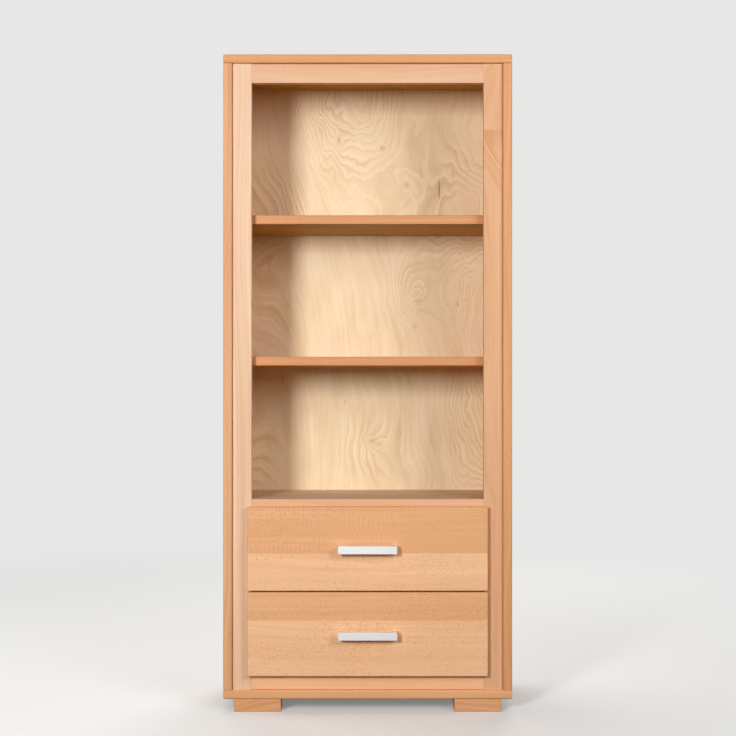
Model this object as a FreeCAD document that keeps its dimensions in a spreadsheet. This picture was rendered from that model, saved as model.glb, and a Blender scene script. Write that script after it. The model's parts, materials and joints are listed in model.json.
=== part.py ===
"""Bookcase with three open bays over two drawers, in solid beech with a birch plywood back.

Frame of the model: +Z up from the floor, +X to the right, the front faces -Y, and the origin is
the centre of the whole piece's footprint. Millimetres throughout. Most case boards are drawn in
the case's own frame: x from the middle, y back from the front edge of the side panels, z from
the floor. Each drawer is drawn from the centre of its front and then placed.
"""
import FreeCAD, Part
import os
import Sketcher
from FreeCAD import Vector

SIZES = {
    # case
    "case_width": 800, "case_height": 1820, "case_depth": 350,
    "top_board": 25, "base_board": 25, "side_board": 25,
    "case_rounding": 5, "side_rounding": 4,
    "foot_height": 35, "foot_width": 130, "foot_depth": 60, "foot_inset": 30, "foot_setback": 3,
    "foot_arris": 1,
    # plywood back in its rebate
    "back_board": 8, "rebate_width": 10, "rebate_play": 0.5,
    # loose tenons between the sides, the top and the base
    "tenon_width": 40, "tenon_board": 8, "tenon_top_depth": 12, "tenon_side_depth": 20, "tenon_count": 3,
    "tenon_end_inset": 65, "tenon_play": 0.1, "tenon_end_play": 1,
    # face frame
    "frame_recess": 10, "frame_board": 25, "stile_width": 53, "top_rail_height": 53,
    "mid_rail_height": 25, "bottom_rail_height": 50, "frame_rounding": 1,
    "stub_length": 20, "stub_board": 8, "stub_shoulder": 6, "stub_play": 0.1, "stub_end_play": 1,
    # floor over the drawers, and the two shelves
    "rail_reveal": 20, "niche_floor_board": 25, "housing_depth": 6, "housing_play": 0.1,
    "tongue_shoulder": 6,
    "bay_height": 370.5, "shelf_board": 25, "shelf_setback": 5, "shelf_back_gap": 2,
    "shelf_end_play": 1, "shelf_rounding": 2,
    # shelf pins
    "pin_hole": 5, "pin_hole_depth": 10, "pin_shank": 4.8, "pin_bite": 9, "pin_reach": 9,
    "pin_flat": 1, "pin_inset": 40,
    # drawers
    "front_overlay": 10, "front_height": 232, "front_board": 19, "front_play": 1,
    "front_rounding": 3, "front_gap": 4,
    "box_lift": 25, "box_height": 160, "box_back_gap": 28, "box_board": 12,
    "bottom_board": 6, "bottom_height": 12, "groove_depth": 5, "groove_play": 0.1,
    "tail_count": 4, "tail_width": 28, "tail_taper": 2.1, "tail_play": 0.1,
    # steel runners with acetal glides
    "runner_width": 12.7, "runner_sheet": 1.2, "runner_setback": 2, "runner_back_gap": 2,
    "runner_height": 35, "runner_side_gap": 1.5, "rail_lip": 3, "rail_gap": 1.3, "rail_bend": 1,
    "screw_head_room": 1.4, "glide_length": 25, "glide_web": 1.3, "glide_play": 0.3,
    "packer_height": 50,
    # fasteners
    "screw_play": 0.1, "screw_end_play": 1,
    "foot_screw_shank": 5, "foot_screw_head": 9.5, "foot_screw_sink": 8, "foot_screw_bite": 15,
    "foot_screw_head_height": 3,
    "handle_screw_shank": 4, "handle_screw_head": 8, "handle_screw_height": 2.5,
    "handle_screw_bite": 9, "handle_screw_play": 0.25,
    # bow handles
    "handle_length": 162, "handle_height": 22, "handle_reach": 30, "handle_plate": 7,
    "handle_leg": 10, "handle_corner": 2, "handle_edge": 0.6,
}

PLANES = {"XY_Plane": 1, "XZ_Plane": -1, "YZ_Plane": 1}    # which way each plane's normal points
SMALL = 0.01


class Size:
    """A length: its value now, and the expression that keeps it bound to the sheet."""

    def __init__(self, text, value):
        self.text = text
        self.value = value

    def __add__(self, other):
        other = as_size(other)
        return Size(f"({self.text} + {other.text})", self.value + other.value)

    def __sub__(self, other):
        other = as_size(other)
        return Size(f"({self.text} - {other.text})", self.value - other.value)

    def __mul__(self, other):
        other = as_size(other)
        return Size(f"({self.text} * {other.text})", self.value * other.value)

    def __truediv__(self, other):
        other = as_size(other)
        return Size(f"({self.text} / {other.text})", self.value / other.value)

    def __rsub__(self, other):
        return as_size(other) - self

    def __neg__(self):
        return as_size(0) - self

    __radd__ = __add__
    __rmul__ = __mul__


def as_size(value):
    return value if isinstance(value, Size) else Size(f"({float(value)})", float(value))


doc = FreeCAD.newDocument("bookcase")
sheet = doc.addObject("Spreadsheet::Sheet", "sizes")
for row, (alias, value) in enumerate(SIZES.items(), 1):
    sheet.set(f"A{row}", alias)
    sheet.set(f"B{row}", str(value))
    sheet.setAlias(f"B{row}", alias)
doc.recompute()
size = {alias: Size(f"sizes.{alias}", float(value)) for alias, value in SIZES.items()}
sub_parts = []


# ---------------------------------------------------------------- drawing helpers

def bind(item, name, value):
    """Bind a property, or one entry of it, to the sheet."""
    item.setExpression(name, as_size(value).text)


def new_body(label, x=0, y=0, z=0):
    """Start a sub-part, with its own origin at x, y, z."""
    body = doc.addObject("PartDesign::Body", label)
    body.Label = label
    body.AllowCompound = True
    place(body, x, y, z)
    sub_parts.append(body)
    return body


def place(item, x, y, z):
    item.Placement.Base = Vector(*(as_size(value).value for value in (x, y, z)))
    for axis, value in zip("xyz", (x, y, z)):
        bind(item, f"Placement.Base.{axis}", value)


def origin_item(body, role):
    return next(item for item in body.Origin.OriginFeatures if item.Role == role)


def new_sketch(body, name, plane, at=0):
    """A sketch on one of the body's own planes, moved to `at` along the axis across it."""
    sketch = body.newObject("Sketcher::SketchObject", f"{body.Label}_{name}")
    sketch.AttachmentSupport = [(origin_item(body, plane), "")]
    sketch.MapMode = "FlatFace"
    offset = as_size(at) * PLANES[plane]
    sketch.AttachmentOffset = FreeCAD.Placement(Vector(0, 0, offset.value), FreeCAD.Rotation())
    bind(sketch, "AttachmentOffset.Base.z", offset)
    return sketch


def hold(sketch, index, point, x, y):
    """Hold a point of the sketch at x, y from the sketch's origin."""
    for kind, value in (("DistanceX", x), ("DistanceY", y)):
        constraint = sketch.addConstraint(Sketcher.Constraint(kind, -1, 1, index, point, value.value))
        bind(sketch, f"Constraints[{constraint}]", value)


def outline(sketch, corners):
    """Join the corners with straight edges, round to the first."""
    first = sketch.GeometryCount
    corners = [(as_size(x), as_size(y)) for x, y in corners]
    for (x0, y0), (x1, y1) in zip(corners, corners[1:] + corners[:1]):
        ends = Vector(x0.value, y0.value, 0), Vector(x1.value, y1.value, 0)
        sketch.addGeometry(Part.LineSegment(*ends), False)
    for step, (x, y) in enumerate(corners):
        before = first + (step - 1) % len(corners)
        sketch.addConstraint(Sketcher.Constraint("Coincident", first + step, 1, before, 2))
        hold(sketch, first + step, 1, x, y)


def rectangle(sketch, x, y):
    """A rectangle between the two ends of x and the two ends of y."""
    outline(sketch, [(x[0], y[0]), (x[1], y[0]), (x[1], y[1]), (x[0], y[1])])


def circle(sketch, x, y, diameter):
    x, y, diameter = as_size(x), as_size(y), as_size(diameter)
    ring = Part.Circle(Vector(x.value, y.value, 0), Vector(0, 0, 1), diameter.value / 2)
    index = sketch.addGeometry(ring, False)
    hold(sketch, index, 3, x, y)
    constraint = sketch.addConstraint(Sketcher.Constraint("Diameter", index, diameter.value))
    bind(sketch, f"Constraints[{constraint}]", diameter)


def feature(body, kind, name):
    """Add a feature to the body and make it the body's tip."""
    item = body.newObject(f"PartDesign::{kind}", f"{body.Label}_{name}")
    body.Tip = item
    return item


def normal_sign(sketch):
    return PLANES[sketch.AttachmentSupport[0][0].Role]


def pad(body, name, sketch, length, way=1):
    """Extrude the sketch: way is +1 or -1 along the body's axis."""
    item = feature(body, "Pad", name)
    item.Profile = sketch
    item.Reversed = way * normal_sign(sketch) < 0
    bind(item, "Length", length)
    return item


def cut(body, name, sketch, depth, way=1):
    """Pocket the sketch into the body, and make sure that it met the wood."""
    doc.recompute()
    before = body.Tip.Shape.Volume
    item = feature(body, "Pocket", name)
    item.Profile = sketch
    item.Reversed = way * normal_sign(sketch) > 0
    bind(item, "Length", depth)
    doc.recompute()
    if not item.Shape.Volume < before - SMALL:
        raise ValueError(f"{item.Name} cuts nothing")
    return item


def repeat(body, name, item, axis, span, count):
    """Repeat one feature `count` times over `span` along an axis of the body."""
    pattern = feature(body, "LinearPattern", name)
    pattern.Originals = [item]
    pattern.Direction = (origin_item(body, axis), [""])
    bind(pattern, "Length", span)
    bind(pattern, "Occurrences", count)


def mirror(body, name, items, plane):
    """Repeat features on the other side of one of the body's planes."""
    item = feature(body, "Mirrored", name)
    item.Originals = items
    item.MirrorPlane = (origin_item(body, plane), [""])


def round_edges(body, name, radius, chosen):
    """Round the edges whose box `chosen` picks."""
    ease_edges(body, "Fillet", name, "Radius", radius, chosen)


def ease_edges(body, kind, name, measure, value, chosen):
    """Put a Fillet or a Chamfer on the edges whose box `chosen` picks."""
    doc.recompute()
    base = body.Tip
    edges = [f"Edge{number}" for number, edge in enumerate(base.Shape.Edges, 1) if chosen(edge.BoundBox)]
    item = feature(body, kind, name)
    item.Base = (base, edges)
    bind(item, measure, value)


def slab(label, x, y, z, at=(0, 0, 0)):
    """A plain board between the two ends of x, y and z."""
    body = new_body(label, *at)
    face = new_sketch(body, "face", "XY_Plane", z[0])
    rectangle(face, x, y)
    pad(body, "board", face, z[1] - z[0])
    return body


def near(value, target):
    return abs(value - as_size(target).value) < SMALL


# ---------------------------------------------------------------- shared places

SIDES = {"left": -1, "right": 1}
half_width = size["case_width"] / 2
inner = half_width - size["side_board"]
opening = inner - size["stile_width"]
front_proud = size["front_board"] + size["front_play"] - size["frame_recess"]
case_front = (front_proud + size["handle_reach"] - size["case_depth"]) / 2
case_at = (0, case_front, 0)

base_bottom = size["foot_height"]
base_top = base_bottom + size["base_board"]
sides_top = size["case_height"] - size["top_board"]
sides_z = (base_top, sides_top)

frame_front = size["frame_recess"]
frame_back = frame_front + size["frame_board"]
frame_y = (frame_front, frame_back)
back_front = size["case_depth"] - size["back_board"]
rebate_inner = inner + size["rebate_width"]

front_bottom = base_top + size["bottom_rail_height"] - size["front_overlay"]
lower_centre = front_bottom + size["front_height"] / 2
upper_centre = lower_centre + size["front_height"] + size["front_gap"]
drawer_centres = {"upper": upper_centre, "lower": lower_centre}

floor_top = upper_centre + size["front_height"] / 2 + size["rail_reveal"]
floor_z = (floor_top - size["niche_floor_board"], floor_top)
lower_shelf_bottom = floor_top + size["bay_height"]
upper_shelf_bottom = lower_shelf_bottom + size["shelf_board"] + size["bay_height"]
shelf_bottoms = {"upper": upper_shelf_bottom, "lower": lower_shelf_bottom}
shelf_front = frame_back + size["shelf_setback"]
shelf_back = back_front - size["shelf_back_gap"]
pin_columns = (shelf_front + size["pin_inset"], shelf_back - size["pin_inset"])

front_back = frame_front - size["front_play"]
front_face = front_back - size["front_board"]
box_half = opening - size["runner_width"]
box_low = size["box_lift"] - size["front_height"] / 2
box_middle = box_low + size["box_height"] / 2
box_z = (box_low, box_low + size["box_height"])
box_back = back_front - size["box_back_gap"]
box_y = (front_back, box_back)
groove_low = box_low + size["bottom_height"]
groove_z = (groove_low, groove_low + size["bottom_board"] + 2 * size["groove_play"])
handle_screw_xs = [side * (size["handle_length"] - size["handle_leg"]) / 2 for side in SIDES.values()]

runner_y = (frame_front + size["runner_setback"], box_back - size["runner_back_gap"])
runner_length = runner_y[1] - runner_y[0]
case_rail_half = size["runner_height"] / 2
case_rail_reach = size["runner_width"] - size["runner_sheet"] - size["runner_side_gap"]
drawer_lip_half = case_rail_half - size["runner_sheet"] - size["rail_gap"]
drawer_rail_half = drawer_lip_half - size["rail_lip"]
glide_web_start = size["runner_sheet"] + size["screw_head_room"] + size["glide_play"]
drawer_rail_start = glide_web_start + size["glide_web"]


def bored(shank):
    """Hole for a screw's shank or head."""
    return size[shank] + 2 * size["screw_play"]


# ---------------------------------------------------------------- case

def tenon_plan(sketch, side, play):
    """The foremost loose tenon of a side panel, seen from above."""
    middle, centre = side * (inner + half_width) / 2, size["tenon_end_inset"]
    thick, wide = size["tenon_board"] / 2 + play, size["tenon_width"] / 2 + play
    rectangle(sketch, (middle - thick, middle + thick), (centre - wide, centre + wide))


def tenon_row(body, name, first):
    """Repeat the foremost tenon or mortise along the depth."""
    span = size["case_depth"] - 2 * size["tenon_end_inset"]
    repeat(body, name, first, "Y_Axis", span, size["tenon_count"])


def end_board(label, z, joint_face, way):
    """Top or base: rounded at the front and ends, rebated for the back, mortised for the sides."""
    depth = size["case_depth"]
    body = slab(label, (-half_width, half_width), (0, depth), z, case_at)
    round_edges(body, "rounding", size["case_rounding"],
                lambda box: near(box.ZLength, 0) and not near(box.YMin, depth))
    rebate = new_sketch(body, "rebate_face", "XY_Plane", joint_face)
    rectangle(rebate, (-rebate_inner, rebate_inner), (back_front, depth))
    cut(body, "rebate", rebate, size["rebate_width"], way)
    mortises = new_sketch(body, "mortise_face", "XY_Plane", joint_face)
    for side in SIDES.values():
        tenon_plan(mortises, side, size["tenon_play"])
    tenon_row(body, "mortise_row", cut(body, "mortises", mortises, size["tenon_top_depth"], way))
    return body


def side_panel(name, side):
    """Side: rebated for the back, housed for the floor, mortised at both ends, drilled for pins."""
    depth = size["case_depth"]
    body = slab(f"side_panel_{name}", (side * inner, side * half_width), (0, depth), sides_z, case_at)
    tall = as_size(sides_top - base_top)
    round_edges(body, "rounding", size["side_rounding"],
                lambda box: near(box.YMax, 0) and near(box.ZLength, tall))
    rebate = new_sketch(body, "rebate_end", "XY_Plane", base_top)
    rectangle(rebate, (side * inner, side * rebate_inner), (back_front, depth))
    cut(body, "rebate", rebate, tall)
    housing = new_sketch(body, "housing_face", "YZ_Plane", side * inner)
    floor_tongue(housing)
    cut(body, "housing", housing, size["housing_depth"], side)
    for end, at, way in (("top", sides_top, -1), ("base", base_top, 1)):
        mortises = new_sketch(body, f"{end}_mortise_face", "XY_Plane", at)
        tenon_plan(mortises, side, size["tenon_play"])
        first = cut(body, f"{end}_mortise", mortises, size["tenon_side_depth"], way)
        tenon_row(body, f"{end}_mortise_row", first)
    drilling = new_sketch(body, "pin_drilling", "YZ_Plane", side * inner)
    for bottom in shelf_bottoms.values():
        for y in pin_columns:
            circle(drilling, y, bottom - size["pin_flat"], size["pin_hole"])
    cut(body, "pin_holes", drilling, size["pin_hole_depth"], side)


def case_tenons():
    """The loose tenons that hold the top and the base to the sides."""
    body = new_body("case_tenons", *case_at)
    into_side = size["tenon_side_depth"] - size["tenon_end_play"]
    into_board = size["tenon_top_depth"] - size["tenon_end_play"]
    for name, low in (("top", sides_top - into_side), ("base", base_top - into_board)):
        plan = new_sketch(body, f"{name}_plan", "XY_Plane", low)
        for side in SIDES.values():
            tenon_plan(plan, side, 0)
        tenon_row(body, f"{name}_row", pad(body, name, plan, into_side + into_board))


def back_panel():
    """Birch plywood back, let into the rebates all round."""
    reach = size["rebate_width"] - size["rebate_play"]
    slab("back_panel", (-inner - reach, inner + reach), (back_front, size["case_depth"]),
         (base_top - reach, sides_top + reach), case_at)


def foot_centre(side, rear):
    """Centre of a foot, in the case's frame."""
    x = side * (half_width - size["foot_inset"] - size["foot_width"] / 2)
    y = size["foot_setback"] + size["foot_depth"] / 2
    return x, (size["case_depth"] - y if rear else y)


def foot(label, x, y):
    """A block under a corner of the base, counterbored from below for its screw."""
    wide, deep, sink = size["foot_width"] / 2, size["foot_depth"] / 2, size["foot_screw_sink"]
    body = slab(label, (-wide, wide), (-deep, deep), (0, size["foot_height"]), (x, case_front + y, 0))
    ease_edges(body, "Chamfer", "arris", "Size", size["foot_arris"],
               lambda box: near(box.ZMin, 0) and not near(box.ZMax, 0))
    bore = new_sketch(body, "bore_face", "XY_Plane")
    circle(bore, 0, 0, bored("foot_screw_head"))
    cut(body, "counterbore", bore, sink)
    clearance = new_sketch(body, "clearance_face", "XY_Plane", sink)
    circle(clearance, 0, 0, bored("foot_screw_shank"))
    cut(body, "clearance", clearance, size["foot_height"] - sink)


def feet(base):
    """Four feet, and the screws that run up through them into the base."""
    sink, bite = size["foot_screw_sink"], size["foot_screw_bite"]
    pilots = new_sketch(base, "pilot_face", "XY_Plane", base_bottom)
    screws = new_body("foot_screws", *case_at)
    heads = new_sketch(screws, "heads", "XY_Plane", sink)
    shanks = new_sketch(screws, "shanks", "XY_Plane", sink)
    for end, rear in (("front", False), ("rear", True)):
        for name, side in SIDES.items():
            x, y = foot_centre(side, rear)
            foot(f"foot_{end}_{name}", x, y)
            circle(pilots, x, y, bored("foot_screw_shank"))
            circle(heads, x, y, size["foot_screw_head"])
            circle(shanks, x, y, size["foot_screw_shank"])
    cut(base, "pilots", pilots, bite + size["screw_end_play"])
    pad(screws, "head", heads, size["foot_screw_head_height"], -1)
    pad(screws, "shank", shanks, size["foot_height"] - sink + bite)


# ---------------------------------------------------------------- face frame

rail_levels = {
    "top_rail": (sides_top - size["top_rail_height"], sides_top),
    "mid_rail": (floor_top - size["mid_rail_height"], floor_top),
    "bottom_rail": (base_top, base_top + size["bottom_rail_height"]),
}


def stub_end(sketch, z, play):
    """End of a rail's stub tenon, centred in the frame's thickness."""
    middle, thick = (frame_front + frame_back) / 2, size["stub_board"] / 2 + play
    shoulder = size["stub_shoulder"] - play
    rectangle(sketch, (middle - thick, middle + thick), (z[0] + shoulder, z[1] - shoulder))


def stile(name, side):
    """Upright of the face frame, mortised for the three rails."""
    edge = side * opening
    body = slab(f"stile_{name}", (edge, side * inner), frame_y, sides_z, case_at)
    round_edges(body, "rounding", size["frame_rounding"],
                lambda box: near(box.YMax, frame_front) and near(box.XMin, edge) and near(box.XMax, edge))
    mortises = new_sketch(body, "mortise_face", "YZ_Plane", edge)
    for z in rail_levels.values():
        stub_end(mortises, z, size["stub_play"])
    cut(body, "mortises", mortises, size["stub_length"] + size["stub_end_play"], side)


def rail(label, z):
    """Cross rail of the face frame, with a stub tenon at each end."""
    body = slab(label, (-opening, opening), frame_y, z, case_at)
    stub = new_sketch(body, "stub_end", "YZ_Plane", opening)
    stub_end(stub, z, 0)
    mirror(body, "other_stub", [pad(body, "stub", stub, size["stub_length"])], "YZ_Plane")


# ---------------------------------------------------------------- floor and shelves

def floor_tongue(sketch):
    """End of the floor's tongue, which has a shoulder below the floor's upper face."""
    rectangle(sketch, (frame_back, back_front), (floor_z[0], floor_top - size["tongue_shoulder"]))


def niche_floor():
    """Fixed floor over the drawers, tongued into the sides and butted against the middle rail."""
    body = slab("niche_floor", (-inner, inner), (frame_back, back_front), floor_z, case_at)
    end = new_sketch(body, "tongue_end", "YZ_Plane", inner)
    floor_tongue(end)
    tongue = pad(body, "tongue", end, size["housing_depth"] - size["housing_play"])
    mirror(body, "other_tongue", [tongue], "YZ_Plane")


def shelf(name, bottom):
    """Loose shelf on four pins, rounded along its front."""
    reach = inner - size["shelf_end_play"]
    body = slab(f"shelf_{name}", (-reach, reach), (shelf_front, shelf_back),
                (bottom, bottom + size["shelf_board"]), case_at)
    round_edges(body, "rounding", size["shelf_rounding"],
                lambda box: near(box.YMax, shelf_front) and box.XLength > SMALL)


def shelf_pins(name, bottom):
    """A shelf's four steel pins, half in the panel, with a flat for the shelf on the other half."""
    body = new_body(f"{name}_shelf_pins", *case_at)
    wide, reach = size["pin_shank"], size["pin_reach"]
    ends = new_sketch(body, "ends", "YZ_Plane", inner - reach)
    flats = new_sketch(body, "flats", "YZ_Plane", inner)
    for y in pin_columns:
        circle(ends, y, bottom - size["pin_flat"], wide)
        rectangle(flats, (y - wide, y + wide), (bottom, bottom + wide))
    pins = pad(body, "pins", ends, reach + size["pin_bite"])
    flat = cut(body, "flat", flats, reach, -1)
    mirror(body, "left_pins", [pins, flat], "YZ_Plane")


# ---------------------------------------------------------------- runners

def mirrored(points):
    """Close a section that is the same above and below its middle line."""
    return points + [(x, -z) for x, z in reversed(points)]


def case_rail_section():
    """Channel on the case: x from the packer's face towards the drawer, z from the middle."""
    sheet_metal, reach, high = size["runner_sheet"], case_rail_reach, case_rail_half
    lip = drawer_rail_half + size["rail_gap"]
    return mirrored([(0, high), (reach, high), (reach, lip), (reach - sheet_metal, lip),
                     (reach - sheet_metal, high - sheet_metal), (sheet_metal, high - sheet_metal)])


def drawer_rail_section():
    """Channel on the drawer, whose lips turn out behind those of the case's channel."""
    sheet_metal, back, start = size["runner_sheet"], size["runner_width"], drawer_rail_start
    high, lip = drawer_rail_half, drawer_lip_half
    return mirrored([(back, high), (start + sheet_metal, high), (start + sheet_metal, lip), (start, lip),
                     (start, high - sheet_metal), (back - sheet_metal, high - sheet_metal)])


def case_glide_section():
    """Glide clipped in the case's channel: it guides the drawer's channel."""
    sheet_metal, start, play = size["runner_sheet"], drawer_rail_start, size["glide_play"]
    high = case_rail_half - sheet_metal
    inside, outside = start + sheet_metal + play, case_rail_reach - sheet_metal
    on_flange, over_lip = drawer_rail_half + play, drawer_lip_half + play
    return mirrored([(sheet_metal, high), (outside, high), (outside, on_flange), (inside, on_flange),
                     (inside, over_lip), (start - play, over_lip)])


def drawer_glide_section():
    """Glide clipped on the drawer's channel: it runs inside the case's channel."""
    sheet_metal, start, play = size["runner_sheet"], drawer_rail_start, size["glide_play"]
    high = case_rail_half - sheet_metal - play
    outside = case_rail_reach - sheet_metal - play
    return mirrored([(glide_web_start, high), (outside, high), (outside, drawer_rail_half),
                     (start + sheet_metal, drawer_rail_half), (start + sheet_metal, drawer_lip_half),
                     (start, drawer_lip_half)])


def draw_section(sketch, section, side, middle):
    """Draw a runner section on an XZ sketch: its x runs in from the opening's edge."""
    outline(sketch, [(side * (opening - x), middle + z) for x, z in section])


def channel(label, section, side, middle, at):
    """A steel channel with bent corners."""
    body = new_body(label, *at)
    end = new_sketch(body, "section", "XZ_Plane", runner_y[0])
    draw_section(end, section, side, middle)
    pad(body, "channel", end, runner_length)
    bend_x, bend_z = section[0]
    corner = side * (opening - bend_x)
    levels = (middle + bend_z, middle - bend_z)
    round_edges(body, "bends", size["rail_bend"],
                lambda box: near(box.XMin, corner) and near(box.XMax, corner)
                and any(near(box.ZMin, level) and near(box.ZMax, level) for level in levels))


def packer(label, side, middle):
    """Batten behind the stile that brings the runner level with the opening's edge."""
    tall = size["packer_height"] / 2
    slab(label, (side * opening, side * inner), (frame_back, back_front),
         (middle - tall, middle + tall), case_at)


def glide(label, section, side, middle, start, at):
    """Acetal glide clipped on one end of a channel."""
    body = new_body(label, *at)
    end = new_sketch(body, "section", "XZ_Plane", start)
    draw_section(end, section, side, middle)
    pad(body, "glide", end, size["glide_length"])


def case_runners(level, middle):
    """Packers, and case rails with their front glides, at one drawer's level."""
    for name, side in SIDES.items():
        packer(f"{level}_packer_{name}", side, middle)
        channel(f"{level}_case_rail_{name}", case_rail_section(), side, middle, case_at)
        glide(f"{level}_case_glide_{name}", case_glide_section(), side, middle, runner_y[0], case_at)


# ---------------------------------------------------------------- drawers

def handle_circles(sketch, diameter):
    """A circle on the line of each of the handle's two screws."""
    for x in handle_screw_xs:
        circle(sketch, x, 0, diameter)


def drill_for_handle(body, seat, depth):
    """Clearance holes for the handle's two screws."""
    drilling = new_sketch(body, "handle_drilling", "XZ_Plane", seat)
    handle_circles(drilling, size["handle_screw_shank"] + 2 * size["handle_screw_play"])
    cut(body, "handle_holes", drilling, depth)


def drawer_front(label, at):
    """Overlay front with rounded face edges, drilled for its handle."""
    wide, tall = opening + size["front_overlay"], size["front_height"] / 2
    body = slab(label, (-wide, wide), (front_face, front_back), (-tall, tall), at)
    round_edges(body, "rounding", size["front_rounding"], lambda box: near(box.YMax, front_face))
    drill_for_handle(body, front_face, size["front_board"])


def box_side(label, side, at):
    """Drawer side with dovetails at both ends, grooved for the bottom."""
    board, play = size["box_board"], size["tail_play"]
    body = slab(label, (side * (box_half - board), side * box_half), box_y, box_z, at)
    wide = (size["box_height"] / size["tail_count"] - size["tail_width"]) / 2 + play
    narrow = wide + size["tail_taper"]
    gaps = new_sketch(body, "gap_face", "YZ_Plane", side * box_half)
    for end, root in ((front_back, front_back + board), (box_back, box_back - board)):
        outline(gaps, [(root, box_low - narrow), (end, box_low - wide),
                       (end, box_low + wide), (root, box_low + narrow)])
    first = cut(body, "tail_gap", gaps, board, -side)
    repeat(body, "tails", first, "Z_Axis", size["box_height"], size["tail_count"] + 1)
    groove = new_sketch(body, "groove_face", "YZ_Plane", side * (box_half - board))
    rectangle(groove, box_y, groove_z)
    cut(body, "groove", groove, size["groove_depth"], side)


def box_end(label, outer, way, at):
    """Front or back of the box: sockets for the tails at both ends, grooved for the bottom."""
    root = outer + way * size["box_board"]
    body = slab(label, (-box_half, box_half), (outer, root), box_z, at)
    pitch = size["box_height"] / size["tail_count"]
    middle = box_low + pitch / 2
    wide = size["tail_width"] / 2
    narrow = wide - size["tail_taper"]
    for name, side in SIDES.items():
        sockets = new_sketch(body, f"{name}_socket_face", "YZ_Plane", side * box_half)
        outline(sockets, [(root, middle - narrow), (outer, middle - wide),
                          (outer, middle + wide), (root, middle + narrow)])
        first = cut(body, f"{name}_socket", sockets, size["box_board"], -side)
        repeat(body, f"{name}_sockets", first, "Z_Axis", size["box_height"] - pitch, size["tail_count"])
    groove = new_sketch(body, "groove_face", "XZ_Plane", root)
    rectangle(groove, (-box_half, box_half), groove_z)
    cut(body, "groove", groove, size["groove_depth"], -way)
    return body


def box_bottom(label, at):
    """Plywood bottom, loose in the grooves of the four box boards."""
    inset = size["box_board"] - size["groove_depth"] + size["groove_play"]
    low = groove_low + size["groove_play"]
    slab(label, (inset - box_half, box_half - inset), (front_back + inset, box_back - inset),
         (low, low + size["bottom_board"]), at)


def handle(label, at):
    """Flat bow handle with a leg at each end."""
    body = new_body(label, *at)
    half, leg, tall = size["handle_length"] / 2, size["handle_leg"], size["handle_height"]
    tip = front_face - size["handle_reach"]
    inside = tip + size["handle_plate"]
    plan = new_sketch(body, "plan", "XY_Plane", -tall / 2)
    outline(plan, [(-half, tip), (half, tip), (half, front_face), (half - leg, front_face),
                   (half - leg, inside), (leg - half, inside), (leg - half, front_face), (-half, front_face)])
    pad(body, "bow", plan, tall)
    round_edges(body, "corners", size["handle_corner"],
                lambda box: near(box.YMax, tip) and near(box.ZLength, tall))
    ease_edges(body, "Chamfer", "edges", "Size", size["handle_edge"],
               lambda box: near(box.YMax, tip) and box.XLength > tall.value)
    tapping = new_sketch(body, "tapping", "XZ_Plane", front_face)
    handle_circles(tapping, bored("handle_screw_shank"))
    cut(body, "tapped_holes", tapping, size["handle_screw_bite"] + size["screw_end_play"], -1)


def handle_screws(label, at):
    """Machine screws that run forwards from the box's inner face into the handle's legs."""
    body = new_body(label, *at)
    seat = front_back + size["box_board"]
    heads = new_sketch(body, "heads", "XZ_Plane", seat)
    handle_circles(heads, size["handle_screw_head"])
    pad(body, "head", heads, size["handle_screw_height"], 1)
    shanks = new_sketch(body, "shanks", "XZ_Plane", seat)
    handle_circles(shanks, size["handle_screw_shank"])
    pad(body, "shank", shanks, seat - front_face + size["handle_screw_bite"], -1)


def drawer(level, centre):
    """One dovetailed drawer with its front, handle, rails and glides."""
    at = (0, case_front, centre)
    drawer_front(f"{level}_drawer_front", at)
    inner_front = box_end(f"{level}_box_front", front_back, 1, at)
    drill_for_handle(inner_front, front_back, size["box_board"])
    box_end(f"{level}_box_back", box_back, -1, at)
    box_bottom(f"{level}_box_bottom", at)
    handle(f"{level}_handle", at)
    handle_screws(f"{level}_handle_screws", at)
    glide_start = runner_y[1] - size["glide_length"]
    for name, side in SIDES.items():
        box_side(f"{level}_box_side_{name}", side, at)
        channel(f"{level}_drawer_rail_{name}", drawer_rail_section(), side, box_middle, at)
        glide(f"{level}_drawer_glide_{name}", drawer_glide_section(), side, box_middle, glide_start, at)


# ---------------------------------------------------------------- build

end_board("top_panel", (sides_top, size["case_height"]), sides_top, 1)
feet(end_board("base_panel", (base_bottom, base_top), base_top, -1))
for name, side in SIDES.items():
    side_panel(name, side)
    stile(name, side)
for label, z in rail_levels.items():
    rail(label, z)
case_tenons()
back_panel()
niche_floor()
for name, bottom in shelf_bottoms.items():
    shelf(name, bottom)
    shelf_pins(name, bottom)
for level, centre in drawer_centres.items():
    case_runners(level, centre + box_middle)
    drawer(level, centre)

doc.recompute()
for item in doc.Objects:
    if "Invalid" in item.State or "Error" in item.State:
        raise ValueError(f"{item.Name} did not build: {item.State}")
for part in sub_parts:
    if part.Shape.isNull() or not part.Shape.isValid():
        raise ValueError(f"{part.Label} has no valid shape")
os.makedirs("parts", exist_ok=True)
for part in sub_parts:
    part.Shape.exportStep(f"parts/{part.Label}.step")
print(len(sub_parts), "sub-parts,", sum(len(part.Shape.Solids) for part in sub_parts), "solids")
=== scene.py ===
"""Looks of a bookcase with three open bays over two drawers.

Solid beech with a light oil, a birch plywood back, flat aluminium bow handles and steel runners.
Metres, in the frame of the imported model: +X to the right, the front faces -Y, +Z up from the floor.
"""
import json
import math

import bmesh
import bpy
from mathutils import Matrix, Vector


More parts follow.
